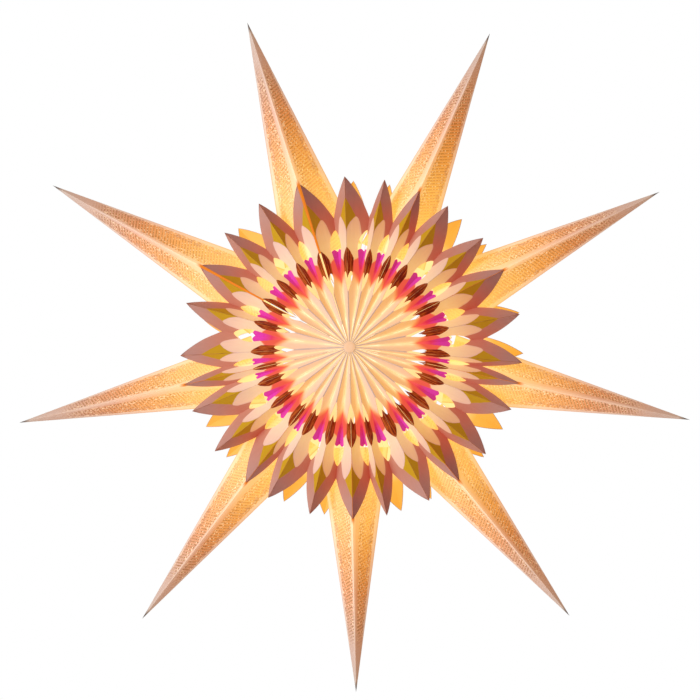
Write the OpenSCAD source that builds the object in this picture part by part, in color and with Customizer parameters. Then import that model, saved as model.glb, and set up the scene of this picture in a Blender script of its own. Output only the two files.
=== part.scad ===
// Nine-point paper star lamp shade. Each point is one folded sheet, and pleated fans of petals bridge the
// points on the front and on the back. The lamp sits inside, held by a collar in the back.
// The star is drawn lying on its back about its own centre, then stood up with its front towards -Y and the
// mouth of the cord inlet at the origin. Bearings run clockwise from straight up, as seen from the front.

/* [Star] */
// Distance from the centre to the tip of a point
point_reach = 300; // [250:5:350]
// Height of the front centre, and depth of the back centre, from the middle plane
centre_rise = 70; // [62:1:78]
// Thickness of the paper
paper_t = 0.4; // [0.3:0.05:0.5]
// Glue between a petal and the point that it lies on
glue_gap = 0.12; // [0.1:0.02:0.3]

/* [Points] */
// Bearing of the first point
first_bearing = 23.5; // [0:0.5:40]
// Share of the turn from each point to the next one
point_shares = [39.5, 39, 39, 38.5, 38.5, 39.5, 41, 43.5, 41.5]; // [37:0.5:45]
// Angle between the two side folds of a point
point_angle = 16; // [14:0.5:17]
// Angle by which each point stands wider open than that
point_extra = [0, 0, 0, 0, 0, 0, 0, 1, 2.5]; // [0:0.5:3]
// Space left between neighbouring points where their side folds meet
root_gap = 0.3; // [0.2:0.1:1]

/* [Fans] */
// Shares of a front fan's turn, from ridge to valley to ridge: one row for each fan
front_shares = [
    [5.5, 6, 9.5, 7.5, 7, 6.5],
    [9, 7, 7.5, 9, 3, 4],
    [4, 5, 8.5, 8.5, 5, 7.5],
    [4.5, 7.5, 9, 6, 4, 7.5],
    [7.5, 7, 6, 9, 5, 4],
    [9, 5.5, 6.5, 8.5, 5, 4],
    [4, 6, 10, 8, 5, 8.5],
    [9, 6, 7.5, 9, 7, 9],
    [8.5, 5, 8.5, 3, 6, 4.5]
]; // [3:0.5:10]
// Shares of a back fan's turn, in the same order
back_shares = [
    [8, 8, 6, 6, 6, 5.5],
    [7, 7.5, 7, 7, 5, 5.5],
    [8.5, 8, 6, 5.5, 5.5, 5.5],
    [6, 6, 5.5, 5.5, 8, 7.5],
    [5.5, 5.5, 7.5, 7, 6.5, 6.5],
    [6, 6, 6, 6.5, 7.5, 7.5],
    [5, 5, 8.5, 8.5, 7, 7],
    [9, 8.5, 8.5, 8.5, 4.5, 4.5],
    [9, 8.5, 6.5, 6, 6, 5.5]
]; // [3:0.5:10]
// How much steeper than a ridge the middle valley of a fan falls away, in degrees
valley_dip = 9.5; // [7:0.5:11]
// Distance from the axis to the tip of a petal
petal_r = 148.5; // [140:0.5:156]
// Distance from the axis to the notch between two petals
notch_r = 114; // [110:0.5:120]
// Outer end of the window cut across a valley
window_out = 103.5; // [98:0.5:107]
// Inner end of that window
window_in = 84; // [78:0.5:90]
// Outer end of the pair of lobes cut under a ridge
lobe_out = 66; // [62:0.5:72]
// Inner end of that pair of lobes
lobe_in = 47; // [42:0.5:52]
// Slit between neighbouring fans along the ridge where they meet
seam_gap = 0.2; // [0.1:0.05:0.4]
// Angle by which that slit opens outwards at each point, where the seam isn't closed
seam_spread = [0, 0, 0, 0, 0, 0, 0, 0.8, 1]; // [0:0.1:1.5]

/* [Front hub] */
// Distance from the axis to the inner end of the front fans
hub_r = 4; // [4:0.5:6]
// Width by which the button covers the ends of the pleats
button_lap = 0.7; // [0.5:0.1:2]
// Radius of the button's stem
stem_r = 1.5; // [1:0.1:1.8]
// Thickness of the button and of the washer behind the pleats
hub_t = 1; // [0.6:0.1:1.6]
// Radius of the washer
washer_r = 8; // [7:0.5:12]

/* [Lamp] */
// Distance from the axis to the inner end of the back fans
back_r = 22; // [21:0.5:24]
// Radius of the collar's flange, which lies on the ridges of the back fans
collar_r = 31; // [28:0.5:35]
// Thickness of the collar's walls
collar_t = 2; // [1.5:0.1:2.5]
// Depth from the pleats' inner end to the underside of the collar's floor
collar_depth = 12; // [10:0.5:14]
// Radius of the clamp ring
clamp_r = 28; // [26:0.5:32]
// Radius of the lamp holder's skirt
skirt_r = 13; // [12:0.5:13.5]
// Length of the lamp holder's skirt
skirt_length = 36; // [32:0.5:40]
// Height of the lamp holder behind the collar's floor
holder_back = 12; // [11:0.5:14]
// Radius of the cord inlet
inlet_r = 3.5; // [3:0.1:4]
// Radius of the bulb's screw cap
cap_r = 7; // [6.5:0.1:7.2]
// Length of the bulb's screw cap
cap_length = 24; // [22:0.5:26]
// Radius of the bulb's globe
globe_r = 22.5; // [18:0.5:24]

/* [Hidden] */
$fn = 96;
POINTS = [1:9];

// Clearances: seats that touch, and round parts that slide into each other
seat_gap = 0.15;
slip_gap = 0.15;

function unit(v) = v / norm(v);
function total(list, n, i = 0) = i >= n ? 0 : list[i] + total(list, n, i + 1);

// Bearing of point k, where points 1 to 9 go round and point 10 is the first again
function bearing(k) = first_bearing + 360 * total(point_shares, k - 1) / total(point_shares, 9);
function wrapped(k) = (k + 8) % 9;
function half_angle(k) = (point_angle + point_extra[wrapped(k)]) / 2;

// All ridges run straight from the centre towards the tips, falling this far for each millimetre outwards
ridge_slope = centre_rise / point_reach;
// How far a point's facet falls for each millimetre sideways, and along a line turned from the ridge
function side_slope(k) = ridge_slope / tan(half_angle(k));
function facet_slope(k, turn) = ridge_slope * cos(turn) + side_slope(k) * sin(turn);
// The fans stand this far above the points, so that the petals lie on the facets with the glue between
fan_lift = (paper_t + glue_gap) * norm([ridge_slope, side_slope(1), 1]);
apex_h = centre_rise + fan_lift;
middle_slope = tan(atan(ridge_slope) + valley_dip);

// Distance from the axis at which the side folds of points k and k + 1 meet
function meeting_r(k) =
    let (
        a = point_reach * sin(half_angle(k)),
        b = point_reach * sin(half_angle(k + 1)),
        turn = 360 * point_shares[wrapped(k)] / total(point_shares, 9) + half_angle(k) + half_angle(k + 1)
    )
    sqrt(a * a + b * b + 2 * a * b * cos(turn)) / sin(turn);
function meeting_u(k, r) = r * cos(asin(point_reach * sin(half_angle(k)) / r) - half_angle(k));
// Distance along a point's axis at which its facets end, inside the star
function root_u(k) = max(meeting_u(k, meeting_r(k)), meeting_u(k, meeting_r(k + 8))) + root_gap;

// Bearings of a fan's seven creases: the seam on point k, valleys and whole ridges in turn, the next seam
function fan_turns(k, shares) =
    let (span = bearing(k + 1) - bearing(k))
    [for (i = [0:6]) bearing(k) + span * total(shares, i) / total(shares, 6)];
function fan_slopes(k, turns) = [
    for (i = [0:6])
        i % 2 == 0 ? ridge_slope
        : i == 1 ? facet_slope(k, turns[1] - turns[0])
        : i == 3 ? middle_slope
        : facet_slope(k + 1, turns[6] - turns[5])
];
function steepest(all_shares) = max([for (k = POINTS) max(fan_slopes(k, fan_turns(k, all_shares[k - 1])))]);
front_steepest = steepest(front_shares);
back_steepest = steepest(back_shares);

// Outlines on one face as [radius, share] points, where the share runs from 0 on its ridge to 1 on its valley.
// A petal's edge runs from its tip to the notch, a window cuts the valley, and a lobe cuts the ridge.
petal_edge = [
    for (p = [[0.83, 0.2], [0.49, 0.56], [0.235, 0.79]]) [notch_r + p[0] * (petal_r - notch_r), p[1]]
];
window_edge = [
    for (p = [[0.88, 0.86], [0.62, 0.69], [0.3, 0.6], [0.03, 0.61], [0.11, 0.8]])
        [window_in + p[0] * (window_out - window_in), p[1]]
];
lobe_edge = [
    for (p = [[0.24, 0.18], [0.5, 0.32], [0.82, 0.42], [1, 0.32], [0.95, 0.18]])
        [lobe_in + p[0] * (lobe_out - lobe_in), p[1]]
];
lobe_tip = lobe_in + 0.68 * (lobe_out - lobe_in);

PER_CREASE = 4;
PER_FACE = 13;
CREASES = 7;
LAYER = CREASES * PER_CREASE + 6 * PER_FACE;

// Order of the points round face f: out along its ridge, round the petal's edge, and in along its valley
function face_ring(f) =
    let (
        ridge = PER_CREASE * (f % 2 == 0 ? f : f + 1),
        valley = PER_CREASE * (f % 2 == 0 ? f + 1 : f),
        own = CREASES * PER_CREASE + PER_FACE * f
    )
    concat(
        [ridge, ridge + 1],
        [for (j = [0:4]) own + j],
        [ridge + 2, ridge + 3],
        [for (j = [5:7]) own + j],
        [valley + 3, valley + 2],
        [for (j = [8:12]) own + j],
        [valley + 1, valley]
    );
// The ring's inside, split into parts that bulge outwards all round
FACE_PARTS = [
    [0, 1, 2], [0, 2, 3], [0, 3, 4, 19, 20], [4, 5, 17, 18, 19], [5, 6, 16, 17],
    [6, 7, 8, 16], [8, 15, 16], [8, 9, 14, 15], [9, 10, 11, 12, 13, 14]
];
// The ring's edges that lie on a fold: two on the ridge, which are cut where fans meet, and two on the valley
RIDGE_EDGES = [0, 7];
VALLEY_EDGES = [12, 19];
function on_fold(f, edge) =
    len(search(edge, VALLEY_EDGES)) > 0 || (len(search(edge, RIDGE_EDGES)) > 0 && f != 0 && f != 5);
function reversed(list) = [for (i = [len(list) - 1:-1:0]) list[i]];

// One pleated sheet from point k to the next. Side is 1 on the front and -1 on the back.
module fan(k, shares, side, inner_r) {
    turns = fan_turns(k, shares);
    slopes = fan_slopes(k, turns);
    dirs = [for (i = [0:6]) [sin(turns[i]), cos(turns[i]), -side * slopes[i]]];
    normals = [for (f = [0:5]) side * unit(cross(dirs[f + 1], dirs[f]))];
    apex = [0, 0, side * apex_h];

    // Along a seam the sheet is cut square to the middle plane, and along a fold its two walls are mitred
    function cut_mitre(dir, normal) =
        let (up = unit([0, 0, side] - side * dir[2] * dir / (dir * dir)))
        paper_t * up / (up * normal);
    mitres = [
        for (i = [0:6])
            i == 0 ? cut_mitre(dirs[0], normals[0])
            : i == 6 ? cut_mitre(dirs[6], normals[5])
            : paper_t * (normals[i - 1] + normals[i]) / (1 + normals[i - 1] * normals[i])
    ];

    // A seam's edge is set back sideways, within the face that it bounds
    function set_back(i, r) =
        let (
            normal = i == 0 ? normals[0] : normals[5],
            point = wrapped(i == 0 ? k : k + 1),
            sideways = (i == 0 ? 1 : -1) * [cos(turns[i]), -sin(turns[i]), 0],
            width = seam_gap / 2 + r * tan(seam_spread[point] / 2)
        )
        width * (sideways - [0, 0, (normal * sideways) / normal[2]]);
    function on_crease(i, r) = apex + r * dirs[i] + (i == 0 || i == 6 ? set_back(i, r) : [0, 0, 0]);
    function on_face(f, p) =
        let (ridge = f % 2 == 0 ? f : f + 1, valley = f % 2 == 0 ? f + 1 : f)
        (1 - p[1]) * on_crease(ridge, p[0]) + p[1] * on_crease(valley, p[0]);

    ridge_rs = [inner_r, lobe_in, lobe_tip, petal_r];
    valley_rs = [inner_r, window_in, window_out, notch_r];
    outside = concat(
        [for (i = [0:6]) for (r = i % 2 == 0 ? ridge_rs : valley_rs) on_crease(i, r)],
        [for (f = [0:5]) for (p = concat(lobe_edge, petal_edge, window_edge)) on_face(f, p)]
    );
    inward = concat(
        [for (i = [0:6]) for (j = [1:PER_CREASE]) mitres[i]],
        [for (f = [0:5]) for (j = [1:PER_FACE]) paper_t * normals[f]]
    );
    outer_parts = [
        for (f = [0:5])
            let (ring = face_ring(f))
            for (part = FACE_PARTS)
                [for (i = (f % 2 == 0) == (side > 0) ? part : reversed(part)) ring[i]]
    ];
    inner_parts = [for (part = outer_parts) [for (i = reversed(part)) i + LAYER]];
    rims = [
        for (f = [0:5])
            let (ring = face_ring(f), n = len(ring), forward = (f % 2 == 0) == (side > 0))
            for (e = [0:n - 1])
                if (!on_fold(f, e))
                    let (a = ring[forward ? e : (e + 1) % n], b = ring[forward ? (e + 1) % n : e])
                    [b, a, a + LAYER, b + LAYER]
    ];
    polyhedron(concat(outside, outside - inward), concat(outer_parts, inner_parts, rims), convexity = 12);
}

// One point: a hollow cone of four flat facets. The walls' inner faces meet at their own tip, further in.
module point(k) {
    root = root_u(k);
    tip_in = point_reach - paper_t * norm([ridge_slope, side_slope(k), 1]) / ridge_slope;
    function section(tip) = [
        [0, root, ridge_slope * (tip - root)],
        [tan(half_angle(k)) * (tip - root), root, 0],
        [0, root, -ridge_slope * (tip - root)],
        [-tan(half_angle(k)) * (tip - root), root, 0]
    ];
    places = concat([[0, point_reach, 0], [0, tip_in, 0]], section(point_reach), section(tip_in));
    facets = [for (i = [0:3]) [0, 2 + (i + 1) % 4, 2 + i]];
    linings = [for (i = [0:3]) [1, 6 + i, 6 + (i + 1) % 4]];
    root_edges = [for (i = [0:3]) [2 + i, 2 + (i + 1) % 4, 6 + (i + 1) % 4, 6 + i]];
    rotate([0, 0, -bearing(k)])
        polyhedron(places, concat(facets, linings, root_edges), convexity = 4);
}

// Heights from the middle plane: along the crests of the ridges, and close under the deepest valley
function crest(r) = apex_h - ridge_slope * r;
function under_valley(r, slope) = apex_h - slope * r - 3 * paper_t - seat_gap;

stem_foot = under_valley(washer_r, front_steepest) - hub_t;
foot_t = 0.6;
foot_lap = 0.8;

module hub_button() {
    head = crest(hub_r) + seat_gap;
    rim = hub_r + button_lap;
    rotate_extrude()
        polygon([
            [0, stem_foot - foot_t],
            [stem_r + foot_lap, stem_foot - foot_t],
            [stem_r + foot_lap, stem_foot],
            [stem_r, stem_foot],
            [stem_r, head],
            [rim, head],
            [rim, head + 0.4 * hub_t],
            [0.6 * rim, head + hub_t],
            [0, head + hub_t]
        ]);
}

module hub_washer() {
    translate([0, 0, stem_foot + seat_gap / 2])
        difference() {
            cylinder(h = hub_t, r = washer_r);
            translate([0, 0, -1])
                cylinder(h = hub_t + 2, r = stem_r + slip_gap);
        }
}

// The lamp's parts are drawn with their backs up, and turned over by this
module on_back() {
    rotate([180, 0, 0])
        children();
}

tube_r = back_r - 4 * seat_gap;
floor_low = crest(back_r) - collar_depth;
floor_high = floor_low + collar_t;
hole_r = skirt_r + slip_gap;

module lamp_collar() {
    on_back()
        rotate_extrude()
            polygon([
                [hole_r, floor_low],
                [tube_r, floor_low],
                [tube_r, crest(tube_r) + seat_gap],
                [collar_r, crest(collar_r) + seat_gap],
                [collar_r, crest(collar_r) + seat_gap + 0.6 * collar_t],
                [tube_r, crest(tube_r) + seat_gap + collar_t],
                [tube_r - collar_t, crest(tube_r) + seat_gap + collar_t],
                [tube_r - collar_t, floor_high],
                [hole_r, floor_high]
            ]);
}

module clamp_ring() {
    inner = tube_r + slip_gap;
    on_back()
        rotate_extrude()
            polygon([
                [inner, floor_low],
                [clamp_r, floor_low],
                [clamp_r, under_valley(clamp_r, back_steepest)],
                [inner, under_valley(inner, back_steepest)]
            ]);
}

// The holder's skirt hangs through the collar's floor, its shoulder rests on it, and its dome takes the cord
shoulder_r = skirt_r + 3.5;
dome_base = floor_high + seat_gap + 3;
inlet_mouth = floor_high + holder_back;
skirt_end = floor_high + seat_gap - skirt_length;
shell_top = floor_low - 6;
shell_r = cap_r + 1.2;

module lamp_holder() {
    on_back()
        rotate_extrude()
            polygon([
                [inlet_r, shell_top],
                [shell_r + slip_gap, shell_top],
                [shell_r + slip_gap, skirt_end],
                [skirt_r, skirt_end],
                [skirt_r, floor_high + seat_gap],
                [shoulder_r, floor_high + seat_gap],
                [shoulder_r, dome_base],
                [shoulder_r - 2, dome_base + 0.5 * (inlet_mouth - dome_base)],
                [inlet_r + 4, inlet_mouth],
                [inlet_r, inlet_mouth]
            ]);
}

module holder_nut() {
    on_back()
        translate([0, 0, floor_low - seat_gap - 6])
            difference() {
                cylinder(h = 6, r = skirt_r + 5);
                translate([0, 0, -1])
                    cylinder(h = 8, r = skirt_r + slip_gap);
            }
}

// The cap screws into the brass shell until its end meets the contact, whose flange is held by the shelf
flange_r = inlet_r + 0.8;
flange_t = 0.8;
contact_length = 5;
cap_end = shell_top - contact_length - seat_gap;

module screw_shell() {
    on_back()
        rotate_extrude()
            polygon([
                [flange_r + 1, shell_top - 0.9],
                [cap_r + slip_gap, shell_top - 0.9],
                [cap_r + slip_gap, skirt_end + 2],
                [shell_r, skirt_end + 2],
                [shell_r, shell_top - seat_gap / 2],
                [flange_r + 1, shell_top - seat_gap / 2]
            ]);
}

module contact_tab() {
    on_back()
        union() {
            translate([0, 0, shell_top - flange_t])
                cylinder(h = flange_t, r = flange_r);
            translate([0, 0, shell_top - contact_length])
                cylinder(h = contact_length, r = 2);
        }
}

module bulb_cap() {
    on_back()
        rotate_extrude()
            polygon([
                [0, cap_end - cap_length],
                [cap_r, cap_end - cap_length],
                [cap_r, cap_end - 2.5],
                [3, cap_end],
                [0, cap_end]
            ]);
}

module bulb_globe() {
    neck_base = cap_end - cap_length;
    neck_length = 0.35 * globe_r;
    neck_r = 0.58 * globe_r;
    globe_centre = neck_base - neck_length - sqrt(globe_r * globe_r - neck_r * neck_r) + 0.5;
    on_back()
        union() {
            translate([0, 0, neck_base - neck_length])
                cylinder(h = neck_length, r1 = neck_r, r2 = cap_r + 0.5);
            translate([0, 0, globe_centre])
                sphere(r = globe_r);
        }
}

// Stands the star up, with the mouth of the cord inlet at the origin
module stand() {
    translate([0, -inlet_mouth, 0])
        rotate([90, 0, 0])
            children();
}

stand() {
    for (k = POINTS) {
        color([0.96, 0.8, 0.6]) point(k);
        color(k % 2 == 0 ? [0.8, 0.5, 0.45] : [0.85, 0.6, 0.35]) fan(k, front_shares[k - 1], 1, hub_r);
        color([1, 0.75, 0.4]) fan(k, back_shares[k - 1], -1, back_r);
    }
    color([0.98, 0.8, 0.65]) hub_button();
    color([0.9, 0.85, 0.75]) hub_washer();
    color([0.95, 0.94, 0.9]) lamp_collar();
    color([0.95, 0.94, 0.9]) clamp_ring();
    color([0.93, 0.92, 0.88]) lamp_holder();
    color([0.93, 0.92, 0.88]) holder_nut();
    color([0.8, 0.65, 0.3]) screw_shell();
    color([0.8, 0.65, 0.3]) contact_tab();
    color([0.75, 0.75, 0.73]) bulb_cap();
    color([1, 0.95, 0.8]) bulb_globe();
}
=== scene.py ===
"""Paper star lamp shade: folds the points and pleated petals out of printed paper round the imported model,
lights the paper from inside, and sets the star before a plain pale ground."""

import math
import random

import bmesh
import bpy
from mathutils import Matrix, Vector
from mathutils.geometry import delaunay_2d_cdt


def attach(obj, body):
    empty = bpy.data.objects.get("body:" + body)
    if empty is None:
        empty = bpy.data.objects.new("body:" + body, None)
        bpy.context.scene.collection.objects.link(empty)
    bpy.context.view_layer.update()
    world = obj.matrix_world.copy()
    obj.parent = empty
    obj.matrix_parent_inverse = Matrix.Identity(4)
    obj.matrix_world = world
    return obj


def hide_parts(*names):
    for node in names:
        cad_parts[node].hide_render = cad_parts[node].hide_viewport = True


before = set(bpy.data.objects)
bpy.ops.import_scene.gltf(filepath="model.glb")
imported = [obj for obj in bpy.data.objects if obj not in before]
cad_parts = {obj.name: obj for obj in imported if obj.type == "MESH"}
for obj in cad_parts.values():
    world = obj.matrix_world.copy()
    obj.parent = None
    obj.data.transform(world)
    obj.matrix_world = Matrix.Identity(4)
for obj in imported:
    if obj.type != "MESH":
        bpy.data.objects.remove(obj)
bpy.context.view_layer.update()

MM = 0.001

# The same sizes as in the part's source, in millimetres and degrees
POINT_REACH = 300
CENTRE_RISE = 70
PAPER_T = 0.4
GLUE_GAP = 0.12
FIRST_BEARING = 23.5
POINT_SHARES = [39.5, 39, 39, 38.5, 38.5, 39.5, 41, 43.5, 41.5]
POINT_ANGLE = 16
POINT_EXTRA = [0, 0, 0, 0, 0, 0, 0, 1, 2.5]
ROOT_GAP = 0.3
FRONT_SHARES = [
    [5.5, 6, 9.5, 7.5, 7, 6.5],
    [9, 7, 7.5, 9, 3, 4],
    [4, 5, 8.5, 8.5, 5, 7.5],
    [4.5, 7.5, 9, 6, 4, 7.5],
    [7.5, 7, 6, 9, 5, 4],
    [9, 5.5, 6.5, 8.5, 5, 4],
    [4, 6, 10, 8, 5, 8.5],
    [9, 6, 7.5, 9, 7, 9],
    [8.5, 5, 8.5, 3, 6, 4.5],
]
BACK_SHARES = [
    [8, 8, 6, 6, 6, 5.5],
    [7, 7.5, 7, 7, 5, 5.5],
    [8.5, 8, 6, 5.5, 5.5, 5.5],
    [6, 6, 5.5, 5.5, 8, 7.5],
    [5.5, 5.5, 7.5, 7, 6.5, 6.5],
    [6, 6, 6, 6.5, 7.5, 7.5],
    [5, 5, 8.5, 8.5, 7, 7],
    [9, 8.5, 8.5, 8.5, 4.5, 4.5],
    [9, 8.5, 6.5, 6, 6, 5.5],
]
VALLEY_DIP = 9.5
PETAL_R = 148.5
NOTCH_R = 114
WINDOW_OUT = 103.5
WINDOW_IN = 84
LOBE_OUT = 66
LOBE_IN = 47
SEAM_GAP = 0.2
SEAM_SPREAD = [0, 0, 0, 0, 0, 0, 0, 0.8, 1]
HUB_R = 4
BACK_R = 22
INLET_MOUTH = 67.882

POINTS = range(1, 10)
RIDGE_SLOPE = CENTRE_RISE / POINT_REACH


# ---------------------------------------------------------------- sizes worked out as the source does


def bearing(k):
    return FIRST_BEARING + 360 * sum(POINT_SHARES[: k - 1]) / sum(POINT_SHARES)


def half_angle(k):
    return math.radians(POINT_ANGLE + POINT_EXTRA[(k - 1) % 9]) / 2


def side_slope(k):
    return RIDGE_SLOPE / math.tan(half_angle(k))


def facet_slope(k, turn):
    return RIDGE_SLOPE * math.cos(math.radians(turn)) + side_slope(k) * math.sin(math.radians(turn))


APEX_H = CENTRE_RISE + (PAPER_T + GLUE_GAP) * math.hypot(RIDGE_SLOPE, side_slope(1), 1)
MIDDLE_SLOPE = math.tan(math.atan(RIDGE_SLOPE) + math.radians(VALLEY_DIP))


def root_u(k):
    """Distance along point k's axis at which its facets end, inside the star."""

    def meeting(first):
        a = POINT_REACH * math.sin(half_angle(first))
        b = POINT_REACH * math.sin(half_angle(first + 1))
        turn = math.radians(360 * POINT_SHARES[(first + 8) % 9] / sum(POINT_SHARES))
        turn += half_angle(first) + half_angle(first + 1)
        r = math.sqrt(a * a + b * b + 2 * a * b * math.cos(turn)) / math.sin(turn)
        return r * math.cos(math.asin(POINT_REACH * math.sin(half_angle(k)) / r) - half_angle(k))

    return max(meeting(k), meeting(k + 8)) + ROOT_GAP


def stood(p):
    """A place in the star's frame in millimetres (right, up, towards the viewer), in the model's frame."""
    return Vector((p[0] * MM, -(p[2] + INLET_MOUTH) * MM, p[1] * MM))


STAND = Matrix(((MM, 0, 0, 0), (0, 0, -MM, -INLET_MOUTH * MM), (0, MM, 0, 0), (0, 0, 0, 1)))


# ---------------------------------------------------------------- node graphs


class Value:
    """One output of a node. Sums on it add Math nodes."""

    def __init__(self, graph, socket):
        self.graph = graph
        self.socket = socket

    def maths(self, kind, *operands, clamp=False):
        inputs = dict(enumerate(operands))
        return self.graph.node("ShaderNodeMath", {"operation": kind, "use_clamp": clamp}, inputs)

    def __add__(self, other):
        return self.maths("ADD", self, other)

    def __radd__(self, other):
        return self.maths("ADD", other, self)

    def __sub__(self, other):
        return self.maths("SUBTRACT", self, other)

    def __rsub__(self, other):
        return self.maths("SUBTRACT", other, self)

    def __mul__(self, other):
        return self.maths("MULTIPLY", self, other)

    def __rmul__(self, other):
        return self.maths("MULTIPLY", other, self)

    def __truediv__(self, other):
        return self.maths("DIVIDE", self, other)

    def __rtruediv__(self, other):
        return self.maths("DIVIDE", other, self)

    def __pow__(self, other):
        return self.maths("POWER", self, other)

    def __abs__(self):
        return self.maths("ABSOLUTE", self)

    def __mod__(self, other):
        return self.maths("MODULO", self, other)

    def __lt__(self, other):
        return self.maths("LESS_THAN", self, other)

    def __gt__(self, other):
        return self.maths("GREATER_THAN", self, other)

    def wave(self):
        return self.maths("SINE", self)

    def rounded(self):
        return self.maths("ROUND", self)

    def most(self, other):
        return self.maths("MAXIMUM", self, other)

    def limited(self):
        return self.maths("ADD", self, 0.0, clamp=True)

    def over(self, soft):
        """1 where this is above zero and 0 where it's below, turning over that width."""
        return self.maths("MULTIPLY_ADD", self, 1 / soft, 0.5, clamp=True)

    def rise(self, low, high):
        """From 0 at low to 1 at high, in a smooth curve."""
        settings = {"interpolation_type": "SMOOTHSTEP", "clamp": True}
        return self.graph.node("ShaderNodeMapRange", settings, {0: self, 1: low, 2: high, 3: 0.0, 4: 1.0})


SEEN_RAYS = ["Camera", "Glossy", "Transmission"]


class Graph:
    """A node tree that is written down one node at a time."""

    def __init__(self, tree):
        self.tree = tree
        tree.nodes.clear()

    def node(self, kind, settings=None, inputs=None, output=0):
        made = self.tree.nodes.new(kind)
        for name, value in (settings or {}).items():
            if name == "stops":
                ramp = made.color_ramp.elements
                while len(ramp) < len(value):
                    ramp.new(1.0)
                for stop, (place, colour) in zip(ramp, value):
                    stop.position = place
                    stop.color = (*colour, 1)
            else:
                setattr(made, name, value)
        for name, value in (inputs or {}).items():
            if isinstance(value, Value):
                self.tree.links.new(value.socket, made.inputs[name])
            elif value is not None:
                colour = made.inputs[name].type == "RGBA" and len(value) == 3
                made.inputs[name].default_value = (*value, 1) if colour else value
        return made if output is None else Value(self, made.outputs[output])

    def mixed(self, share, first, second):
        """The first colour where the share is 0 and the second where it's 1."""
        return self.node("ShaderNodeMix", {"data_type": "RGBA"}, {0: share, 6: first, 7: second}, 2)

    def joined(self, x, y, z):
        return self.node("ShaderNodeCombineXYZ", None, {0: x, 1: y, 2: z})

    def parts(self, vector):
        made = self.node("ShaderNodeSeparateXYZ", None, {0: vector}, None)
        return [Value(self, out) for out in made.outputs]

    def seen(self):
        """1 on rays that a viewer sees straight, mirrored or through something, and 0 on the others."""
        path = self.node("ShaderNodeLightPath", output=None).outputs
        straight, mirrored, through = (Value(self, path[f"Is {kind} Ray"]) for kind in SEEN_RAYS)
        return straight.most(mirrored).most(through)


class Finish(Graph):
    """A procedural material on the Principled shader."""

    def __init__(self, name):
        self.material = bpy.data.materials.new(name)
        self.material.use_nodes = True
        super().__init__(self.material.node_tree)
        self.place = self.node("ShaderNodeTexCoord", output=3)

    def noise(self, scale, detail=2.0, rough=0.5, vector=None):
        inputs = {"Vector": vector or self.place, "Scale": scale, "Detail": detail, "Roughness": rough}
        return self.node("ShaderNodeTexNoise", None, inputs)

    def on_sheet(self, name):
        """Share of the way from fold to fold, and distance in millimetres, as kept on the sheet.

        On a point's sheet the share is below zero on the anticlockwise side.
        """
        share, distance, _ = self.parts(self.node("ShaderNodeUVMap", {"uv_map": name}))
        return share, distance * 100

    def off_axis(self):
        """Distance from the star's axis, in metres."""
        x, _, z = self.parts(self.place)
        return (x * x + z * z) ** 0.5

    def bump(self, height, distance, strength=1.0):
        inputs = {"Strength": strength, "Distance": distance, "Height": height}
        return self.node("ShaderNodeBump", None, inputs)

    def done(self, **sockets):
        """Ends the material. Sockets are named as the shader's, with _ for a space."""
        inputs = {name.replace("_", " "): value for name, value in sockets.items()}
        shader = self.node("ShaderNodeBsdfPrincipled", None, inputs)
        self.node("ShaderNodeOutputMaterial", None, {"Surface": shader}, None)
        return self.material

    def printed(self, layers):
        """Layers of (share, colour, glow) laid one over the other: the colour and the glow that result."""
        base, glow = layers[0][1:]
        for share, colour, light in layers[1:]:
            base = self.mixed(share, base, colour)
            glow = self.mixed(share, glow, light)
        return base, glow

    def darkened(self, colour, tone):
        """The colour times a number that varies."""
        grey = self.node("ShaderNodeCombineColor", None, {0: tone, 1: tone, 2: tone})
        settings = {"data_type": "RGBA", "blend_type": "MULTIPLY"}
        return self.node("ShaderNodeMix", settings, {0: 1.0, 6: colour, 7: grey}, 2)


# ---------------------------------------------------------------- finishes


def fibres(g):
    """Fine bump of uncoated paper."""
    return g.bump(g.noise(900.0, 3.0, 0.6) * 0.6 + g.noise(140.0) * 0.4, 0.00025, 0.35)


def paper_done(g, base, glow, rough):
    return g.done(
        Base_Color=base,
        Roughness=rough,
        Specular_IOR_Level=0.08,
        Emission_Color=glow,
        Emission_Strength=1.0,
        Normal=fibres(g),
    )


# Where the forms printed on a pleat begin and how far they run, in millimetres from the star's centre
CURL_FROM, CURL_RUN = 97.6, 16.7
LEAF_OUT, LEAF_RUN, LEAF_FOOT = 114.3, 15.6, 98.5
DART_FROM, DART_RUN, DART_OUT = 56.1, 27.9, 92
ARCH_OUT, ARCH_RUN, ARCH_FOOT = 86.6, 9, 59
WEDGE_FROM, WEDGE_RUN = 53, 13
HEART_OUT, HEART_SLANT = 130.3, 38

# How softly a printed form ends, in millimetres along the pleat and as a share of the way across it
SOFT_R = 0.8
SOFT_S = 0.03


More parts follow.
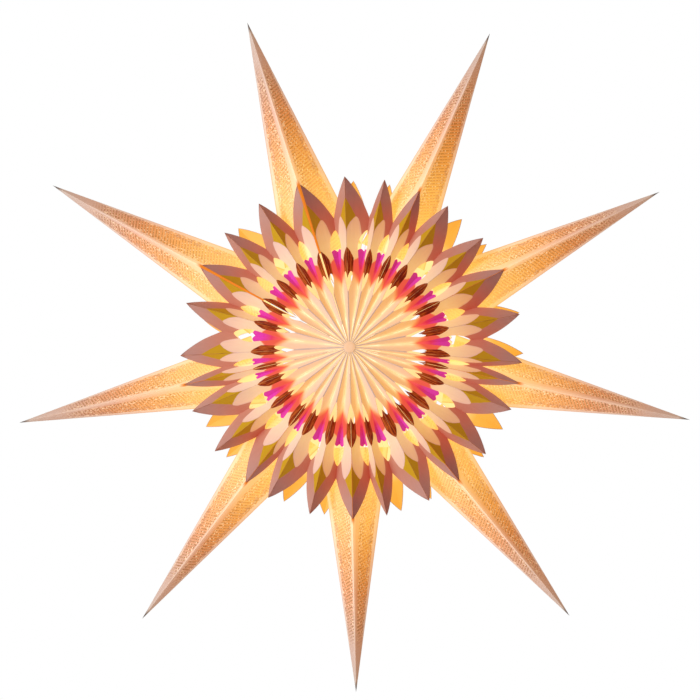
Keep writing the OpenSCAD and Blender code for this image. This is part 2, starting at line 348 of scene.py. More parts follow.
def petal_print():
    """The pleats' print: dusty rose petals with ochre hearts, pale leaves, brown arches and magenta darts."""
    g = Finish("petal_print")
    share, r = g.on_sheet("sheet")
    x, _, z = g.parts(g.place)
    blur = g.noise(260.0) - 0.5
    r = r + blur * 1.1
    s = share + blur * 0.007
    off_ridge = share * r * 0.21
    streak = g.noise(1.0, 3.0, 0.65, g.joined(share * 11, r * 0.07, (x + z) * 15))
    pool = g.noise(24.0, 2.0)

    # Each form's edge as a share of the way from the ridge to the valley
    curl = 0.42 * ((r - CURL_FROM).most(0.0) / CURL_RUN) ** 2.0
    petal_side = 1 - ((r - NOTCH_R) / (PETAL_R - NOTCH_R)).limited() ** 1.25
    leaf_side = 0.42 + 0.32 * ((LEAF_OUT - r).most(0.0) / LEAF_RUN) ** 0.5 + (LEAF_FOOT - r).most(0.0)
    dart_side = 1 - 0.36 * ((r - DART_FROM) / DART_RUN).limited() ** 0.8
    arch_side = 0.41 * ((ARCH_OUT - r) / ARCH_RUN).limited() ** 0.7

    # Where each form lies
    rim = (s - petal_side + 0.06).rise(0.0, 0.06) * (r - NOTCH_R).over(2.0)
    heart = (HEART_OUT - HEART_SLANT * s - r).over(SOFT_R) * (curl - s).over(SOFT_S)
    leaf = (LEAF_OUT - r).over(SOFT_R) * (s - curl).over(SOFT_S) * (leaf_side - s).over(SOFT_S)
    leaf_rim = (0.035 - abs(s - leaf_side + 0.03)).over(SOFT_S) + (0.035 - abs(s - curl - 0.02)).over(SOFT_S)
    inner = (92 - r).rise(0.0, 30.0)
    dart = (s - dart_side).over(0.035) * (r - 56).over(SOFT_R) * (DART_OUT - r).over(SOFT_R)
    ripe = (r - 59).rise(0.0, 20.0) * 2
    arch = (arch_side - s).over(SOFT_S) * (r - ARCH_FOOT - 6.5 * (s * 3.3).limited()).over(SOFT_R)
    wedge = r - WEDGE_FROM - (1 - s) * WEDGE_RUN
    fringe = (70.5 + s * 11 - r - blur * 2).over(1.8)
    # painted light: streaks of brighter lamplight in the valleys near the centre
    valley_glow_streaks = s.rise(0.7, 1.0) * (58 - r).rise(-2.0, 6.0) * (streak - 0.56).over(0.08)
    # painted shade: a pale grey, dimmer line along the ridges near the centre
    crest_shade = (1.0 - off_ridge).over(0.6) * (62 - r).rise(0.0, 8.0) * (pool - 0.34).over(0.3)
    # painted highlight: a pale line along the leaves' ridges, and a streaked one along the arches' ridges
    leaf_ridge_highlight = (0.45 - off_ridge).over(0.5) * leaf * (r - 62).over(6.0) * (1 - arch)
    arch_ridge_highlight = (0.3 - off_ridge).over(0.4) * arch * (streak - 0.42).over(0.1)

    # Each layer over the last: where it lies, its colour, and the lamp's light that comes through it
    layers = [
        # The petals, with their rims, tips and hearts, and a painted shade line along the outer ridges
        (1.0, (0.30, 0.26, 0.19), (0.33, 0.01, 0.0)),
        ((r - 108).rise(0.0, 34.0), (0.5, 0.31, 0.26), (0.09, 0.0, 0.0)),
        (rim * 0.5, (0.2, 0.12, 0.1), (0.12, 0.01, 0.0)),
        ((r - 143).rise(0.0, 5.0) * 0.6, (0.22, 0.12, 0.1), (0.06, 0.0, 0.0)),
        (heart, (0.5, 0.35, 0.02), (0.15, 0.02, 0.0)),
        # painted shade: a darker line along the ridges of the outer petals
        ((0.32 - off_ridge).over(0.4) * (r - 104).rise(0.0, 8.0) * 0.4, (0.2, 0.1, 0.06), (0.1, 0.01, 0.0)),
        # The leaves between them, which pale towards the lamp
        (leaf, (0.34, 0.41, 0.5), (0.6, 0.2, 0.0)),
        (leaf * (112 - r).rise(0.0, 30.0), (0.32, 0.4, 0.52), (0.74, 0.34, 0.01)),
        (leaf * leaf_rim.limited() * (r - 95).rise(0.0, 4.0) * 0.5, (0.5, 0.48, 0.52), (0.42, 0.12, 0.02)),
        (leaf * inner, (0.27, 0.34, 0.48), (0.76, 0.31, 0.0)),
        # The plain middle, bright in its valleys, with painted streaks of brighter lamplight in the valleys
        # near the centre and a pale grey line of painted shade along its ridges
        ((46 - r).rise(0.0, 34.0), (0.28, 0.32, 0.44), (0.76, 0.36, 0.05)),
        (s.rise(0.55, 1.0) * (60 - r).rise(-6.0, 8.0), (0.24, 0.24, 0.3), (0.86, 0.54, 0.15)),
        (valley_glow_streaks, (0.2, 0.2, 0.2), (1.0, 0.84, 0.48)),
        (crest_shade * 0.8, (0.3, 0.28, 0.3), (0.34, 0.2, 0.15)),
        # The red wedges and the darts that ripen outwards
        (wedge.rise(-3.0, 5.0) * fringe, (0.2, 0.14, 0.1), (0.86, 0.26, 0.06)),
        (wedge.rise(1.0, 8.0) * fringe, (0.15, 0.045, 0.035), (0.76, 0.085, 0.045)),
        (dart, (0.2, 0.06, 0.05), (0.8, 0.085, 0.06)),
        (dart * ripe.limited(), (0.3, 0.05, 0.12), (0.52, 0.02, 0.04)),
        (dart * (ripe - 1).limited(), (0.54, 0.05, 0.46), (0.24, 0.015, 0.02)),
        # The streaked arches, and painted highlights along the ridges of leaves and arches
        (arch, (0.18, 0.042, 0.008), (0.16, 0.0, 0.0)),
        (arch * (streak - 0.53).over(0.08) * 0.8, (0.32, 0.105, 0.022), (0.26, 0.03, 0.0)),
        (arch * (0.46 - streak).over(0.08) * 0.8, (0.09, 0.015, 0.004), (0.06, 0.0, 0.0)),
        (leaf_ridge_highlight * 0.5, (0.6, 0.54, 0.56), (0.3, 0.14, 0.06)),
        (arch_ridge_highlight * 0.6, (0.5, 0.3, 0.14), (0.3, 0.12, 0.04)),
    ]
    base, glow = g.printed(layers)
    base = g.darkened(base, 0.92 + streak * 0.16)
    glow = g.darkened(glow, 0.78 + pool * 0.2 + g.noise(60.0, 3.0) * 0.12 + streak * 0.12)
    return paper_done(g, base, glow, 0.62 - arch * 0.2 + g.noise(500.0) * 0.1)


# The hatched band on a point's facet, as shares of the way from its ridge to its side fold, and its lines
BAND_FROM = 0.22
BAND_TO = 0.87
NARROWED = 0.15  # how much nearer to the ridge it begins on the clockwise side
HATCH_PITCH = 2.9
LATTICE_PITCH = 3.4
FACET_WIDENS = 0.28  # a facet's width to each millimetre from the tip
SHEET_LENGTH = 216


def point_print():
    """The points' print: plain strips beside the folds, and between them a finely hatched band with marks."""
    g = Finish("point_print")
    side, u = g.on_sheet("sheet")
    share = abs(side)
    clockwise = side.over(0.02)
    x, _, z = g.parts(g.place)
    worn = g.noise(1.0, 3.0, 0.6, g.joined(share * 7, u * 0.05, (x + z) * 9))
    stain = g.noise(1.0, 2.0, 0.6, g.joined(share * 7, u * 0.17, (x + z) * 9))
    speck = g.noise(560.0, 2.0, 0.6)

    # The print begins a little way from the tip and pales towards the lamp
    begun = (u - 34).rise(0.0, 24.0)
    spent = 1 - (u - 130).rise(0.0, 60.0) * 0.75
    margin = BAND_FROM - clockwise * NARROWED + (u - 130).rise(0.0, 50.0) * 0.12
    band = (share - margin).over(0.06) * (BAND_TO - share).over(0.05) * begun
    across = side * u * FACET_WIDENS
    slant = ((u + across * 0.3) * (2 * math.pi / HATCH_PITCH)).wave()
    lattice = ((u * 0.5 - across * 0.6) * (2 * math.pi / LATTICE_PITCH)).wave()
    hatch = band * (slant + lattice * 0.25 + (speck - 0.5) * 1.6).over(1.0) * spent * (1.2 - share * 0.6)
    dots = band * (slant * 0.7 + lattice * 0.5 + (speck - 0.5) * 5.0 - 1.1).over(0.6)
    spots = (0.08 - abs(share - 0.75)).over(0.06) * (stain - 0.5).over(0.1) * begun * spent
    band_edges = (0.1 - abs(share - margin - 0.1)).over(0.05) + (0.08 - abs(share - 0.82)).over(0.05)
    marks = band_edges.limited() * begun * spent
    # painted highlight: a thin pale line along the ridge
    ridge = (0.035 - share).over(0.03)
    # painted shade: near the root the ridge, seen through the slit between the petals, is a deeper, darker
    # orange
    slit_shaded_ridge = (0.06 - share).over(0.04) * (u - 146).rise(0.0, 6.0)

    lamplight = [
        (0.0, (0.30, 0.16, 0.08)),
        (0.12, (0.36, 0.13, 0.04)),
        (0.24, (0.42, 0.13, 0.02)),
        (0.4, (0.56, 0.15, 0.0)),
        (0.56, (0.77, 0.27, 0.01)),
        (0.68, (0.87, 0.39, 0.04)),
        (1.0, (0.9, 0.48, 0.07)),
    ]
    through = g.node("ShaderNodeValToRGB", {"stops": lamplight}, {"Fac": u / SHEET_LENGTH})

    def lit(share, colour):
        """The light that comes through, mixed with a colour by that share."""
        return g.mixed(share, through, colour)

    def dimmed(tone):
        return g.darkened(through, tone)

    band_tone = g.mixed((u - 45).rise(0.0, 50.0), (0.42, 0.42, 0.42), (0.42, 0.31, 0.25))
    spot_light = g.mixed(0.3, dimmed(0.6), (0.36, 0.14, 0.1))

    # Each layer over the last, as on the pleats
    layers = [
        (1.0, (0.44, 0.46, 0.46), through),
        # The hatched band with its dots, spots and marks
        (band, band_tone, dimmed(1.08)),
        (hatch * 0.9, (0.2, 0.14, 0.09), dimmed(0.67)),
        (dots * spent * 0.75, (0.7, 0.64, 0.56), lit(0.55, (1.0, 0.68, 0.32))),
        (spots * 0.5, (0.26, 0.2, 0.2), spot_light),
        (marks * (speck - 0.56).over(0.05) * 0.6, (0.7, 0.66, 0.6), lit(0.45, (1.0, 0.64, 0.28))),
        (marks * (0.42 - speck).over(0.05) * 0.5, (0.18, 0.16, 0.17), dimmed(0.6)),
        # The lighter strips beside the folds, a painted highlight along the ridge, a darker line at the side
        # fold, and painted shade on the ridge near the root
        ((share - 0.86).over(0.06) * begun * spent, (0.44, 0.46, 0.46), lit(0.28, (0.68, 0.62, 0.5))),
        ((0.1 - share).over(0.08) * begun * 0.8, (0.48, 0.5, 0.5), lit(0.2, (0.8, 0.68, 0.45))),
        (ridge * 0.75, (0.56, 0.52, 0.5), lit(0.15, (0.8, 0.68, 0.45))),
        ((share - 0.97).over(0.03) * 0.6, (0.28, 0.2, 0.15), dimmed(0.8)),
        (slit_shaded_ridge, (0.2, 0.08, 0.02), (0.75, 0.19, 0.01)),
        # The dark tip
        ((8 - u).rise(-3.0, 5.0), (0.12, 0.1, 0.09), (0.05, 0.03, 0.02)),
    ]
    base, glow = g.printed(layers)
    glow = g.darkened(glow, 0.82 + g.noise(45.0, 3.0) * 0.18 + worn * 0.18)
    return paper_done(g, base, glow, 0.6 + g.noise(500.0) * 0.1)


def by_distance(g, stops):
    """A colour by the distance from the star's axis, as the lamp's light falls off; stops run to the tips."""
    return g.node("ShaderNodeValToRGB", {"stops": stops}, {"Fac": g.off_axis() * (1 / (POINT_REACH * MM))})


def lining():
    """The inside of the sheets, bright with the lamp."""
    g = Finish("lining")
    stops = [
        (0.0, (1.0, 0.8, 0.45)),
        (0.2, (0.93, 0.58, 0.26)),
        (0.28, (0.94, 0.68, 0.29)),
        (0.34, (0.95, 0.72, 0.32)),
        (0.41, (0.76, 0.36, 0.05)),
        (0.5, (0.72, 0.31, 0.03)),
        (1.0, (0.6, 0.25, 0.04)),
    ]
    glow = g.darkened(by_distance(g, stops), 0.85 + g.noise(60.0, 3.0) * 0.15 + g.noise(700.0, 3.0) * 0.15)
    return paper_done(g, (0.3, 0.22, 0.11), glow, 0.7)


def eyelet_glow():
    """Small punched slots backed with tissue."""
    g = Finish("tissue")
    glow = by_distance(g, [(0.0, (1.0, 0.7, 0.28)), (0.5, (0.95, 0.6, 0.22)), (0.9, (0.5, 0.33, 0.2))])
    return paper_done(g, (0.6, 0.56, 0.52), g.darkened(glow, 0.85 + g.noise(300.0) * 0.3), 0.6)


def hub_card():
    g = Finish("hub_card")
    rings = (g.off_axis() * 9000).wave() * 0.5 + 0.5
    base = g.mixed(g.noise(700.0, 3.0), (0.4, 0.35, 0.34), (0.36, 0.32, 0.31))
    glow = g.mixed(rings * 0.2, (0.64, 0.29, 0.06), (0.58, 0.26, 0.05))
    return paper_done(g, base, glow, 0.6)


def moulded(name, colour, shade, rough):
    """Moulded plastic with a fine spark-eroded texture."""
    g = Finish(name)
    grain = g.noise(1600.0, 2.0)
    scuff = (g.noise(70.0, 4.0) - 0.5).over(0.4)
    base = g.mixed(scuff * 0.5, colour, shade)
    return g.done(Base_Color=base, Roughness=rough + grain * 0.12, Normal=g.bump(grain, 0.0001, 0.25))


def metal(name, colour, shade, rough):
    g = Finish(name)
    _, y, _ = g.parts(g.place)
    turned = (y * 26000).wave() * 0.5 + 0.5
    stain = g.noise(160.0, 4.0)
    base = g.mixed(stain, colour, shade)
    grooves = g.bump(turned, 0.0001, 0.2)
    return g.done(Base_Color=base, Metallic=1.0, Roughness=rough + stain * 0.15, Normal=grooves)


def opal_glass():
    g = Finish("opal_glass")
    soft = g.noise(80.0)
    glow = g.mixed(soft, (1.0, 0.86, 0.56), (1.0, 0.8, 0.48))
    white = (0.9, 0.86, 0.78)
    return g.done(Base_Color=white, Roughness=0.2 + soft * 0.1, Emission_Color=glow, Emission_Strength=1.1)


PETALS = petal_print()
FACETS = point_print()
LINING = lining()
TISSUE = eyelet_glow()
CARD = hub_card()
HOLDER = moulded("holder_plastic", (0.80, 0.78, 0.72), (0.70, 0.67, 0.60), 0.38)
COLLAR = moulded("collar_plastic", (0.84, 0.82, 0.76), (0.76, 0.73, 0.66), 0.45)
BRASS = metal("brass", (0.78, 0.58, 0.26), (0.62, 0.44, 0.2), 0.28)
STEEL = metal("plated_steel", (0.78, 0.78, 0.76), (0.6, 0.6, 0.58), 0.25)
OPAL = opal_glass()


# ---------------------------------------------------------------- pieces


SHARP_FOLD = math.radians(7)  # a fold steeper than this stays sharp


def unlined(face):
    return False


def put(mesh, name, materials, inside, slot_name, *nodes):
    """Puts a finished mesh into the scene as a piece, in place of the nodes named.

    inside(face) is true on the lining, which has the second material.
    """
    mesh.name = name
    mesh.materials.clear()
    for material in materials:
        mesh.materials.append(material)
    for face in mesh.polygons:
        face.material_index = int(inside(face))
        face.use_smooth = True
    mesh.set_sharp_from_angle(angle=SHARP_FOLD)
    piece = bpy.data.objects.new(name, mesh)
    bpy.context.scene.collection.objects.link(piece)
    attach(piece, "root")
    if nodes:
        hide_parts(*nodes)


def smooth_path(marks, steps):
    """A smooth path through the marks, each (distance, share), without its first and last point."""
    marks = [Vector(mark) for mark in marks]
    ends = [2 * marks[0] - marks[1], *marks, 2 * marks[-1] - marks[-2]]
    path = []
    for i in range(1, len(ends) - 2):
        a, b, c, d = ends[i - 1 : i + 3]
        bend, twist = 2 * a - 5 * b + 4 * c - d, 3 * b - a - 3 * c + d
        for j in range(steps):
            t = j / steps
            path.append(0.5 * (2 * b + (c - a) * t + bend * t * t + twist * t**3))
    return [(p.x, min(max(p.y, 0.0), 1.0)) for p in path[1:]]


def spaced(first, last, step):
    n = max(1, round(abs(last - first) / step))
    return [first + (last - first) * i / n for i in range(n + 1)]


def marks_between(inner, outer, marks):
    """Marks given as (share of the way from inner to outer, share across the face), as (distance, share)."""
    return [(inner + a * (outer - inner), s) for a, s in marks]


# The curved cuts of one face, from its ridge at share 0 to its valley at share 1
LOBE_TIP = LOBE_IN + 0.68 * (LOBE_OUT - LOBE_IN)
LOBE_BULGE = [(0.24, 0.18), (0.5, 0.32), (0.82, 0.42), (1, 0.32), (0.95, 0.18)]
LOBE_MARKS = [(LOBE_IN, 0), *marks_between(LOBE_IN, LOBE_OUT, LOBE_BULGE), (LOBE_TIP, 0)]
PETAL_BULGE = [(0.83, 0.2), (0.49, 0.56), (0.235, 0.79)]
PETAL_MARKS = [(PETAL_R, 0), *marks_between(NOTCH_R, PETAL_R, PETAL_BULGE), (NOTCH_R, 1)]
WINDOW_BULGE = [(0.88, 0.86), (0.62, 0.69), (0.3, 0.6), (0.03, 0.61)]
WINDOW_MARKS = [(WINDOW_OUT, 1), *marks_between(WINDOW_IN, WINDOW_OUT, WINDOW_BULGE)]
DART_MARKS = [WINDOW_MARKS[-1], *marks_between(WINDOW_IN, WINDOW_OUT, [(0.11, 0.8)]), (WINDOW_IN, 1)]

# The mesh of a face, in millimetres: steps along its folds and across it, and how loosely its places lie
FOLD_STEP = 6
STEP_OUT = 6.5
STEP_ACROSS = 5.5
JITTER = 0.6
RIM_CLEAR = 2.2
ROOT_CLEAR, TIP_CLEAR = 5, 8
CUT_STEPS, LOBE_STEPS = 4, 3
WELD = 1e-4
BOW_LEAST, BOW_MOST = 0.006, 0.016  # how far a face bows outwards, as a share of its width


def face_outline(inner_r):
    """The outline of one face as (distance, share), out along its ridge and back in along its valley."""

    def along_fold(first, last, s):
        return [(r, s) for r in spaced(first, last, FOLD_STEP)]

    window = smooth_path(WINDOW_MARKS, CUT_STEPS) + [WINDOW_MARKS[-1]] + smooth_path(DART_MARKS, CUT_STEPS)
    return (
        along_fold(inner_r, LOBE_IN, 0)
        + smooth_path(LOBE_MARKS, LOBE_STEPS)
        + along_fold(LOBE_TIP, PETAL_R, 0)
        + smooth_path(PETAL_MARKS, CUT_STEPS)
        + along_fold(NOTCH_R, WINDOW_OUT, 1)
        + window
        + along_fold(WINDOW_IN, inner_r, 1)
    )


class Fan:
    """One pleated sheet from point k to the next, made as the source makes it but with curved cuts."""

    def __init__(self, k, shares, side, inner_r):
        self.k, self.side, self.inner_r = k, side, inner_r
        first = bearing(k)
        span = bearing(k + 1) - first
        self.turns = [first + span * sum(shares[:i]) / sum(shares) for i in range(7)]
        slopes = [RIDGE_SLOPE] * 7
        slopes[1] = facet_slope(k, self.turns[1] - self.turns[0])
        slopes[3] = MIDDLE_SLOPE
        slopes[5] = facet_slope(k + 1, self.turns[6] - self.turns[5])
        turned = [math.radians(t) for t in self.turns]
        self.dirs = [Vector((math.sin(t), math.cos(t), -side * m)) for t, m in zip(turned, slopes)]
        self.normals = [side * self.dirs[f + 1].cross(self.dirs[f]).normalized() for f in range(6)]
        self.apex = Vector((0, 0, side * APEX_H))

    def mitre(self, i):
        """From the outside to the inside of the sheet at fold i; the fan's first and last fold end plumb."""
        if i in (0, 6):
            along = self.dirs[i]
            up = Vector((0, 0, self.side)) - self.side * along.z * along / along.length_squared
            up.normalize()
            return PAPER_T * up / up.dot(self.normals[0 if i == 0 else 5])
        before, after = self.normals[i - 1], self.normals[i]
        return PAPER_T * (before + after) / (1 + before.dot(after))

    def on_crease(self, i, r):
        """The place on fold i at distance r, drawn back by the seam's gap on the first and last fold."""
        place = self.apex + r * self.dirs[i]
        if i in (0, 6):
            normal = self.normals[0 if i == 0 else 5]
            turn = math.radians(self.turns[i])
            sideways = (1 if i == 0 else -1) * Vector((math.cos(turn), -math.sin(turn), 0))
            spread = SEAM_SPREAD[((self.k if i == 0 else self.k + 1) - 1) % 9]
            width = SEAM_GAP / 2 + r * math.tan(math.radians(spread) / 2)
            place = place + width * (sideways - Vector((0, 0, normal.dot(sideways) / normal.z)))
        return place

    def folds(self, f):
        """The ridge and the valley of face f, as numbers of folds."""
        return (f, f + 1) if f % 2 == 0 else (f + 1, f)

    def on_face(self, f, r, s):
        ridge, valley = self.folds(f)
        return (1 - s) * self.on_crease(ridge, r) + s * self.on_crease(valley, r)

    def face(self, f, rng):
        """Triangles over one face: its places as (distance, share), and the triangles between them."""
        ridge, valley = self.folds(f)
        wide = self.dirs[ridge].angle(self.dirs[valley])
        along, across = self.dirs[ridge].length, self.dirs[valley].length

        def flat(p):
            """The place on the unfolded face."""
            r, s = p
            on_valley = r * s * across
            return Vector((r * (1 - s) * along + on_valley * math.cos(wide), on_valley * math.sin(wide)))

        outline = face_outline(self.inner_r)
        rim = [flat(p) for p in outline]
        inner = []
        for r in spaced(self.inner_r + ROOT_CLEAR, PETAL_R - TIP_CLEAR, STEP_OUT):
            n = max(1, round(r * wide / STEP_ACROSS))
            for j in range(1, n):
                p = (r + rng.uniform(-JITTER, JITTER), j / n)
                q = flat(p)
                if min((q - e).length for e in rim) > RIM_CLEAR and winds(q, rim):
                    inner.append(p)
        places = outline + inner
        n = len(outline)
        edges = [(i, (i + 1) % n) for i in range(n)]
        made = delaunay_2d_cdt([flat(p) for p in places], edges, [], 0, WELD)
        kept = []
        for tri in made[2]:
            middle = sum((made[0][i] for i in tri), Vector((0, 0))) / 3
            if winds(middle, rim):
                kept.append([made[3][i][0] for i in tri])
        return places, kept


def winds(p, loop):
    """True where the loop winds round p."""
    hit = False
    for a, b in zip(loop, loop[1:] + loop[:1]):
        if (a.y > p.y) != (b.y > p.y) and p.x < (b.x - a.x) * (p.y - a.y) / (b.y - a.y) + a.x:
            hit = not hit
    return hit


def folded_fan(k, shares, side, inner_r):
    """The fan's mesh: its printed outside, its lining and its cut edges, with each face bowed a little."""
    fan = Fan(k, shares, side, inner_r)
    rng = random.Random(100 * k + side)
    outside, inward, sheet, triangles = [], [], [], []
    shared = {}
    for f in range(6):
        places, tris = fan.face(f, rng)
        folds = fan.folds(f)
        width = math.radians(abs(fan.turns[f + 1] - fan.turns[f]))
        bow = rng.uniform(BOW_LEAST, BOW_MOST)
        index = []
        for i, (r, s) in enumerate(places):
            crease = folds[0] if s == 0 else folds[1] if s == 1 else None
            key = (crease, round(r, 3)) if crease is not None else None
            if key in shared:
                index.append(shared[key])
                continue
            at = fan.on_face(f, r, s)
            depth = fan.mitre(crease) if crease is not None else PAPER_T * fan.normals[f]
            at = at + fan.normals[f] * bow * r * width * 4 * s * (1 - s)
            index.append(len(outside))
            outside.append(at)
            inward.append(at - depth)
            sheet.append((s, r))
            if key is not None:
                shared[key] = index[-1]
        for a, b, c in tris:
            a, b, c = index[a], index[b], index[c]
            across = (outside[b] - outside[a]).cross(outside[c] - outside[a])
            triangles.append((a, b, c) if across.dot(fan.normals[f]) > 0 else (a, c, b))
    layer = len(outside)
    directed = {(t[i], t[(i + 1) % 3]) for t in triangles for i in range(3)}
    border = [(a, b) for a, b in directed if (b, a) not in directed]
    border.sort()
    faces = triangles + [(c + layer, b + layer, a + layer) for a, b, c in triangles]
    faces += [(b, a, a + layer, b + layer) for a, b in border]
    mesh = bpy.data.meshes.new("fan")
    mesh.from_pydata([stood(p) for p in outside + inward], [], faces)
    sheet_map(mesh, sheet + sheet)
    mesh.validate()
    return mesh, lambda face: len(triangles) <= face.index < 2 * len(triangles)


def sheet_map(mesh, sheet):
    """Keeps (share from fold to fold, distance / 100 mm) for each corner."""
    layer = mesh.uv_layers.new(name="sheet")
    for loop, corner in zip(mesh.loops, layer.data):
        s, r = sheet[loop.vertex_index]
        corner.uv = (s, r / 100)


for k in POINTS:
    front, inside = folded_fan(k, FRONT_SHARES[k - 1], 1, HUB_R)
    put(front, f"front_petals_{k}", [PETALS, LINING], inside, "front_fan_paper", f"front_fan_{k}")
    back, inside = folded_fan(k, BACK_SHARES[k - 1], -1, BACK_R)
    put(back, f"back_petals_{k}", [PETALS, LINING], inside, "back_fan_paper", f"back_fan_{k}")


# ---------------------------------------------------------------- points and eyelets, by geometry nodes


class Maker(Graph):
    """A geometry node tree with named inputs, which makes one mesh and ends in it alone."""

    def __init__(self, name, sizes):
        group = bpy.data.node_groups.new(name, "GeometryNodeTree")
        group.interface.new_socket("Geometry", in_out="INPUT", socket_type="NodeSocketGeometry")
        group.interface.new_socket("Geometry", in_out="OUTPUT", socket_type="NodeSocketGeometry")
        self.sockets = {}
        for size, value in sizes.items():
            kind = "NodeSocketInt" if isinstance(value, int) else "NodeSocketFloat"
            kind = "NodeSocketMaterial" if isinstance(value, bpy.types.Material) else kind
            made = group.interface.new_socket(size, in_out="INPUT", socket_type=kind)
            self.sockets[size] = made.identifier
        super().__init__(group)
        self.defaults = sizes
        self.inputs = self.node("NodeGroupInput")

    def size(self, name):
        return Value(self, self.inputs.socket.node.outputs[name])

    def random(self, least, most, seed):
        """A number for each point of a line."""
        inputs = {2: least, 3: most, "Seed": seed}
        return self.node("FunctionNodeRandomValue", {"data_type": "FLOAT"}, inputs, 1)

    def kept(self, geometry, name, value, kind, domain):
        """Keeps a value on the mesh under that name."""
        settings = {"data_type": kind, "domain": domain}
        inputs = {"Geometry": geometry, "Name": name, "Value": value}
        return self.node("GeometryNodeStoreNamedAttribute", settings, inputs)

    def end(self, geometry):
        real = self.node("GeometryNodeRealizeInstances", None, {0: geometry})
        inputs = {"Geometry": real, "Material": self.size("Material")}
        dressed = self.node("GeometryNodeSetMaterial", None, inputs)
        self.node("NodeGroupOutput", None, {0: dressed}, None)

    def mesh(self, sizes):
        """The mesh that the tree makes at these sizes."""
        holder = bpy.data.objects.new("holder", bpy.data.meshes.new("holder"))
        bpy.context.scene.collection.objects.link(holder)
        modifier = holder.modifiers.new("make", "NODES")
        modifier.node_group = self.tree
        for name, value in {**self.defaults, **sizes}.items():
            modifier[self.sockets[name]] = value
        deps = bpy.context.evaluated_depsgraph_get()
        made = bpy.data.meshes.new_from_object(holder.evaluated_get(deps), depsgraph=deps)
        holder.modifiers.remove(modifier)
        bpy.data.objects.remove(holder)
        return made


FOLDS_ROUND = 4.0  # the grid's width, so that one unit of it is one facet
BOWED_TO = 145  # from a point's tip, just short of the petals


def folded_point_maker():
    """A hollow cone of four flat facets, drawn along +Y in millimetres with its front ridge towards +Z.

    A grid is rolled up: its width goes round the folds, and its height out over the outside of the sheet
    and back over the lining.
    """
    sizes = {
        "Reach": float(POINT_REACH),
        "Inner reach": 296.0,
        "Root": root_u(1),
        "Ridge slope": RIDGE_SLOPE,
        "Side slope": math.tan(half_angle(1)),
        "Bow": 0.5,
        "Seed": 1.0,
        "Rows": 36,
        "Around": 25,
        "Material": FACETS,
    }
    g = Maker("folded_point", sizes)

    def round_folds(a):
        """1 at 0, nought at 1, -1 at 2 and back, once round the folds."""
        return abs((a % FOLDS_ROUND) - FOLDS_ROUND / 2) - 1.0

    rows = g.size("Rows")
    span = {"Size X": FOLDS_ROUND, "Size Y": 2.0, "Vertices X": g.size("Around"), "Vertices Y": rows}
    grid = g.node("GeometryNodeMeshGrid", None, span)
    x, y, _ = g.parts(g.node("GeometryNodeInputPosition"))
    around = x + FOLDS_ROUND / 2
    row = ((y + 1) * 0.5 * (rows - 1)).rounded()
    half = rows * 0.5
    lining = row > half - 0.5
    along = (row * (1 - lining) + (rows - 1 - row) * lining) / (half - 1)
    tip = g.size("Reach") * (1 - lining) + g.size("Inner reach") * lining
    run = (tip - g.size("Root")) * along
    front = round_folds(around)
    sideways = round_folds(around + 3.0)
    share = 1 - abs(front)
    distance = g.size("Reach") - tip + run

    # Each facet is bowed outwards a little, and unevenly, between its tip and the rosette
    lean = (g.size("Ridge slope") ** 2.0 + g.size("Side slope") ** 2.0) ** 0.5
    seeded = g.joined((around - 0.5).rounded(), distance * 0.02, g.size("Seed"))
    uneven = g.node("ShaderNodeTexNoise", None, {"Vector": seeded, "Scale": 1.0, "Detail": 1.0})
    clear = distance.rise(0.0, 30.0) * (BOWED_TO - distance).rise(0.0, 25.0)
    swell = g.size("Bow") * 4 * share * (1 - share) * clear * (uneven * 1.4 - 0.2).limited()
    right, forward = (v.maths("SIGN", v) * swell for v in (sideways, front))
    place = g.joined(
        sideways * g.size("Side slope") * run + right * g.size("Ridge slope") / lean,
        tip - run,
        front * g.size("Ridge slope") * run + forward * g.size("Side slope") / lean,
    )
    mapped = g.kept(grid, "sheet", g.joined(sideways, distance * 0.01, 0.0), "FLOAT2", "CORNER")
    layered = g.kept(mapped, "lined", lining, "FLOAT", "POINT")
    shaped = g.node("GeometryNodeSetPosition", None, {"Geometry": layered, "Position": place})
    closed = g.node("GeometryNodeMergeByDistance", None, {"Geometry": shaped, "Distance": 0.001})
    g.end(g.node("GeometryNodeFlipFaces", None, {"Mesh": closed}))
    return g


BEAD_PROUD = 0.16  # how far a slot's bead stands out of the paper, in millimetres


